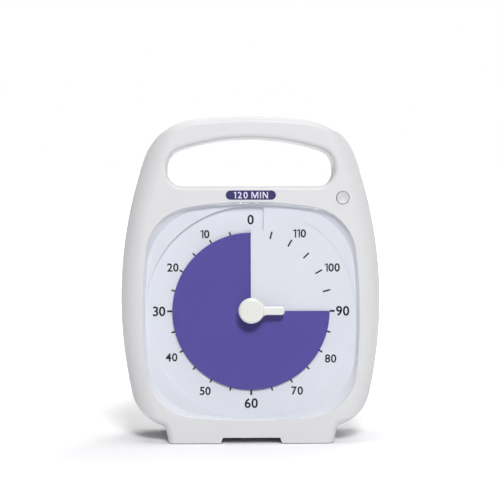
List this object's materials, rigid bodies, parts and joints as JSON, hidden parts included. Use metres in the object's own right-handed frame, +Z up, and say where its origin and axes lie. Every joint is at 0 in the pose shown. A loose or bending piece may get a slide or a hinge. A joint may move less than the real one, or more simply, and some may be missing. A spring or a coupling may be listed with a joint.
{
  "type": "visual countdown timer",
  "caption": "Free-standing countdown timer with a carrying handle, a square lens, a round two-hour dial, a spiral disc that shows the time left, a set knob and a push button.",
  "frame": {"origin": "middle of the footprint, on the desk under the four pads", "axes": "+X to the user's right, +Y towards the back of the timer, +Z up; the dial faces -Y and leans back 7 degrees"},
  "size_m": [0.1396, 0.0508, 0.174],
  "materials": {
    "housing_plastic": "fine satin texture",
    "button_plastic": "satin",
    "knob_plastic": "gloss",
    "clear_plastic": "clear",
    "dial_plastic": "matte, printed scale",
    "disc_film": "matte purple",
    "label_film": "printed purple pill",
    "pad_rubber": "matte",
    "gear_plastic": "moulded",
    "case_plastic": "moulded",
    "steel": "bright",
    "magnet": "sintered",
    "copper": "enamelled copper wire",
    "tin_plate": "tin-plated",
    "board_laminate": "glass-fibre laminate",
    "chip_plastic": "moulded",
    "capacitor_sleeve": "sleeved can",
    "connector_plastic": "moulded",
    "battery_steel": "plain printed sleeve",
    "lead_red": "PVC insulation",
    "lead_black": "PVC insulation"
  },
  "bodies": {
    "housing": {"battery": "battery_steel", "battery_contact": "tin_plate", "battery_lead_minus": "lead_black", "battery_lead_plus": "lead_red", "battery_spring": "tin_plate", "board_connector": "connector_plastic", "board_screws": "steel", "button_switch": "case_plastic", "capacitor_left": "capacitor_sleeve", "capacitor_right": "capacitor_sleeve", "circuit_board": "board_laminate", "coil": "copper", "coil_pin_lower": "tin_plate", "coil_pin_upper": "tin_plate", "control_chip": "chip_plastic", "crystal": "tin_plate", "dial_plate": "dial_plastic", "front_housing": "housing_plastic", "front_left_pad": "pad_rubber", "front_right_pad": "pad_rubber", "housing_screws": "steel", "lens": "clear_plastic", "movement_front_case": "case_plastic", "movement_rear_case": "case_plastic", "movement_screws": "steel", "range_label": "label_film", "rear_housing": "housing_plastic", "rear_left_pad": "pad_rubber", "rear_right_pad": "pad_rubber", "sounder": "chip_plastic", "sounder_lead_left": "lead_black", "sounder_lead_right": "lead_red", "stator": "steel", "switch_board": "board_laminate", "switch_lead_left": "lead_black", "switch_lead_right": "lead_red", "switch_screws": "steel", "volume_lead_front": "lead_red", "volume_lead_rear": "lead_black", "volume_resistor": "case_plastic"},
    "knob": {"set_knob": "knob_plastic", "disc_hub": "gear_plastic", "arbor": "steel", "clutch_spring": "steel"},
    "disc": {"colour_disc": "disc_film"},
    "centre_wheel": {"centre_wheel": "gear_plastic"},
    "intermediate_wheel": {"intermediate_wheel": "gear_plastic"},
    "rotor": {"rotor_pinion": "gear_plastic", "rotor_magnet": "magnet"},
    "button": {"push_button": "button_plastic", "switch_plunger": "gear_plastic"},
    "door": {"battery_door": "housing_plastic"},
    "volume": {"volume_wheel": "case_plastic"}
  },
  "joints": [
    {"name": "timer_set", "type": "hinge", "parent": "housing", "child": "knob", "pos_m": [0, -0.01676, 0.07037], "axis": [0, -0.9925, 0.1219], "range_deg": [-270, 90]},
    {"name": "disc_slide", "type": "slide", "parent": "knob", "child": "disc", "axis": [0, -0.9925, 0.1219], "range_m": [-0.0018, 0.0006]},
    {"name": "centre_wheel_spin", "type": "hinge", "parent": "housing", "child": "centre_wheel", "pos_m": [0, -0.01676, 0.07037], "axis": [0, -0.9925, 0.1219], "continuous": true},
    {"name": "intermediate_spin", "type": "hinge", "parent": "housing", "child": "intermediate_wheel", "pos_m": [0.0086, -0.01526, 0.08257], "axis": [0, -0.9925, 0.1219], "continuous": true},
    {"name": "rotor_spin", "type": "hinge", "parent": "housing", "child": "rotor", "pos_m": [0.01664, -0.01643, 0.07306], "axis": [0, -0.9925, 0.1219], "continuous": true},
    {"name": "button_press", "type": "slide", "parent": "housing", "child": "button", "axis": [0, 0.9925, -0.1219], "range_m": [0, 0.0006], "stiffness_N_per_m": 400, "springref_m": -0.001},
    {"name": "battery_door_hinge", "type": "hinge", "parent": "housing", "child": "door", "pos_m": [0, 0.02341, 0.02254], "axis": [-1, 0, 0], "range_deg": [0, 85]},
    {"name": "volume_turn", "type": "hinge", "parent": "housing", "child": "volume", "pos_m": [0.042, 0.01538, 0.09501], "axis": [0, -0.0349, 0.9994], "range_deg": [-135, 135]}
  ],
  "couplings": [
    {"joint": "disc_slide", "follows": "timer_set", "m_per_rad": 0.00038197},
    {"joint": "intermediate_spin", "follows": "centre_wheel_spin", "ratio": -4},
    {"joint": "rotor_spin", "follows": "centre_wheel_spin", "ratio": 16}
  ]
}
